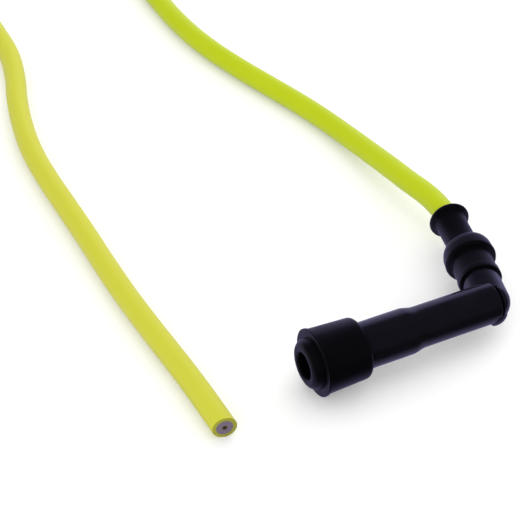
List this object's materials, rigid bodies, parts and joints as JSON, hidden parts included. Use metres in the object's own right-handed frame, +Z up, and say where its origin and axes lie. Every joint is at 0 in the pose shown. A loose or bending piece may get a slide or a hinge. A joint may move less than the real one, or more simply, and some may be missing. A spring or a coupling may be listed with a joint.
{
  "type": "spark plug wire",
  "caption": "Ignition lead with an elbowed resistor cap that pushes onto a spark plug, and a bare cut end for an ignition coil.",
  "frame": {"origin": "centre of the cap's box, on the plane of its lowest point, with the lead left out", "axes": "+X from the plug's mouth towards the elbow along the plug leg, +Y towards the side the lead leaves, +Z up from the table"},
  "size_m": [0.1081, 0.2752, 0.0197],
  "materials": {
    "black_phenolic": "smooth glossy black moulding",
    "black_rubber": "satin black rubber",
    "yellow_jacket": "satin bright yellow jacket",
    "grey_insulation": "matt grey cut face",
    "dark_conductor": "dull dark strands",
    "brass": "turned brass",
    "spring_steel": "plain bright wire",
    "resistor_ceramic": "matt ceramic rod"
  },
  "bodies": {
    "root": {"cap_body": "black_phenolic", "end_cover": "black_phenolic", "plug_boot": "black_rubber", "cable_boot": "black_rubber", "contact_block": "brass", "cable_screw": "spring_steel", "contact_spring": "spring_steel", "resistor_rod": "resistor_ceramic", "resistor_cap_cable_side": "brass", "resistor_cap_plug_side": "brass", "plug_terminal": "brass", "terminal_clip": "spring_steel", "wire": "yellow_jacket", "wire_screwed_end": "yellow_jacket", "wire_jacket_end": "yellow_jacket", "wire_insulation_end": "grey_insulation", "wire_conductor_end": "dark_conductor"}
  },
  "joints": []
}
